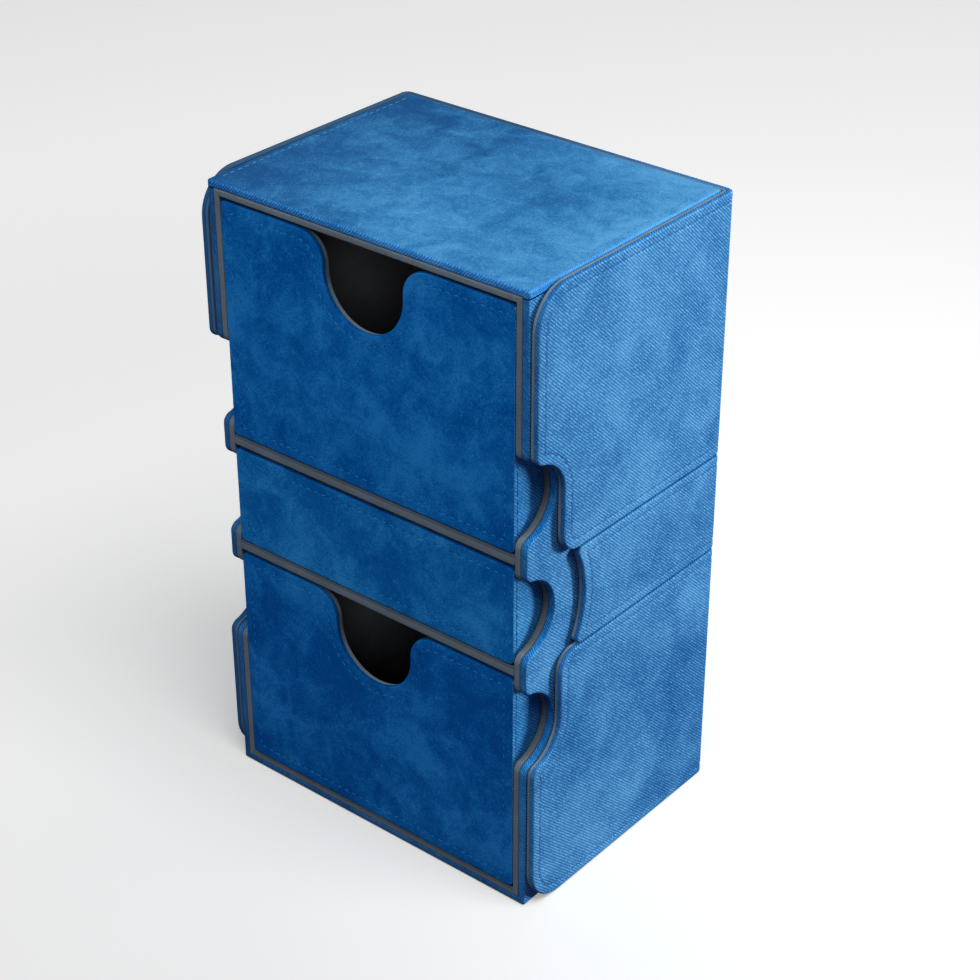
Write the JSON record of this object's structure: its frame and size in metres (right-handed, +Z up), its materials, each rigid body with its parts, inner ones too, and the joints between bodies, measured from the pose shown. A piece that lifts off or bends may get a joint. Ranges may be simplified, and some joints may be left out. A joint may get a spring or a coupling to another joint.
{
  "type": "deck box with drawers",
  "caption": "Upright card storage tower with lined bays, pull-out card trays with thumb notches, a shallow accessories drawer and a folding cover held on its back by magnets.",
  "frame": {"origin": "middle of the base of the bounding box, on the surface that the box stands on", "axes": "+Z up, -Y out of the open front where the drawers pull out, +X to the right seen from the front"},
  "size_m": [0.1114, 0.0808, 0.1845],
  "materials": {
    "blue_suede": "mottled brushed suede cloth over board",
    "blue_twill": "diagonal twill cloth over board",
    "grey_lining": "matte microfibre over board",
    "dark_liner": "matte microfibre",
    "magnet_steel": "plated disc magnet"
  },
  "bodies": {
    "case": {"case_back_board": "blue_twill", "case_back_lining": "grey_lining", "case_bottom_board": "blue_twill", "case_bottom_lining": "grey_lining", "case_left_board": "blue_twill", "case_left_lining": "grey_lining", "case_magnets": "magnet_steel", "case_right_board": "blue_twill", "case_right_lining": "grey_lining", "case_top_board": "blue_suede", "case_top_lining": "grey_lining", "lower_shelf": "grey_lining", "upper_shelf": "grey_lining"},
    "top_drawer": {"top_drawer_back_wall": "blue_twill", "top_drawer_floor": "blue_twill", "top_drawer_front": "blue_suede", "top_drawer_front_lining": "grey_lining", "top_drawer_left_wall": "blue_twill", "top_drawer_liner": "dark_liner", "top_drawer_right_wall": "blue_twill"},
    "middle_drawer": {"middle_drawer_back_wall": "blue_twill", "middle_drawer_floor": "blue_twill", "middle_drawer_front": "blue_suede", "middle_drawer_front_lining": "grey_lining", "middle_drawer_left_wall": "blue_twill", "middle_drawer_liner": "dark_liner", "middle_drawer_right_wall": "blue_twill"},
    "bottom_drawer": {"bottom_drawer_back_wall": "blue_twill", "bottom_drawer_floor": "blue_twill", "bottom_drawer_front": "blue_suede", "bottom_drawer_front_lining": "grey_lining", "bottom_drawer_left_wall": "blue_twill", "bottom_drawer_liner": "dark_liner", "bottom_drawer_right_wall": "blue_twill"},
    "upper_leaf": {"upper_leaf_left_flap": "blue_twill", "upper_leaf_left_flap_lining": "grey_lining", "upper_leaf_magnets": "magnet_steel", "upper_leaf_right_flap": "blue_twill", "upper_leaf_right_flap_lining": "grey_lining", "upper_leaf_spine": "blue_suede", "upper_leaf_spine_lining": "grey_lining"},
    "middle_leaf": {"middle_leaf_left_flap": "blue_twill", "middle_leaf_left_flap_lining": "grey_lining", "middle_leaf_magnets": "magnet_steel", "middle_leaf_right_flap": "blue_twill", "middle_leaf_right_flap_lining": "grey_lining", "middle_leaf_spine": "blue_suede", "middle_leaf_spine_lining": "grey_lining", "upper_crease": "blue_twill", "lower_crease": "blue_twill"},
    "lower_leaf": {"lower_leaf_left_flap": "blue_twill", "lower_leaf_left_flap_lining": "grey_lining", "lower_leaf_magnets": "magnet_steel", "lower_leaf_right_flap": "blue_twill", "lower_leaf_right_flap_lining": "grey_lining", "lower_leaf_spine": "blue_suede", "lower_leaf_spine_lining": "grey_lining"}
  },
  "joints": [
    {"name": "top_drawer_slide", "type": "slide", "parent": "case", "child": "top_drawer", "axis": [0, -1, 0], "range_m": [0, 0.075]},
    {"name": "middle_drawer_slide", "type": "slide", "parent": "case", "child": "middle_drawer", "axis": [0, -1, 0], "range_m": [0, 0.075]},
    {"name": "bottom_drawer_slide", "type": "slide", "parent": "case", "child": "bottom_drawer", "axis": [0, -1, 0], "range_m": [0, 0.075]},
    {"name": "cover_pull", "type": "slide", "parent": "case", "child": "middle_leaf", "axis": [0, 1, 0], "range_m": [0, 0.084]},
    {"name": "upper_leaf_fold", "type": "hinge", "parent": "middle_leaf", "child": "upper_leaf", "pos_m": [0, 0.0402, 0.10725], "axis": [-1, 0, 0], "range_deg": [0, 95]},
    {"name": "lower_leaf_fold", "type": "hinge", "parent": "middle_leaf", "child": "lower_leaf", "pos_m": [0, 0.0402, 0.07725], "axis": [1, 0, 0], "range_deg": [0, 95]}
  ]
}
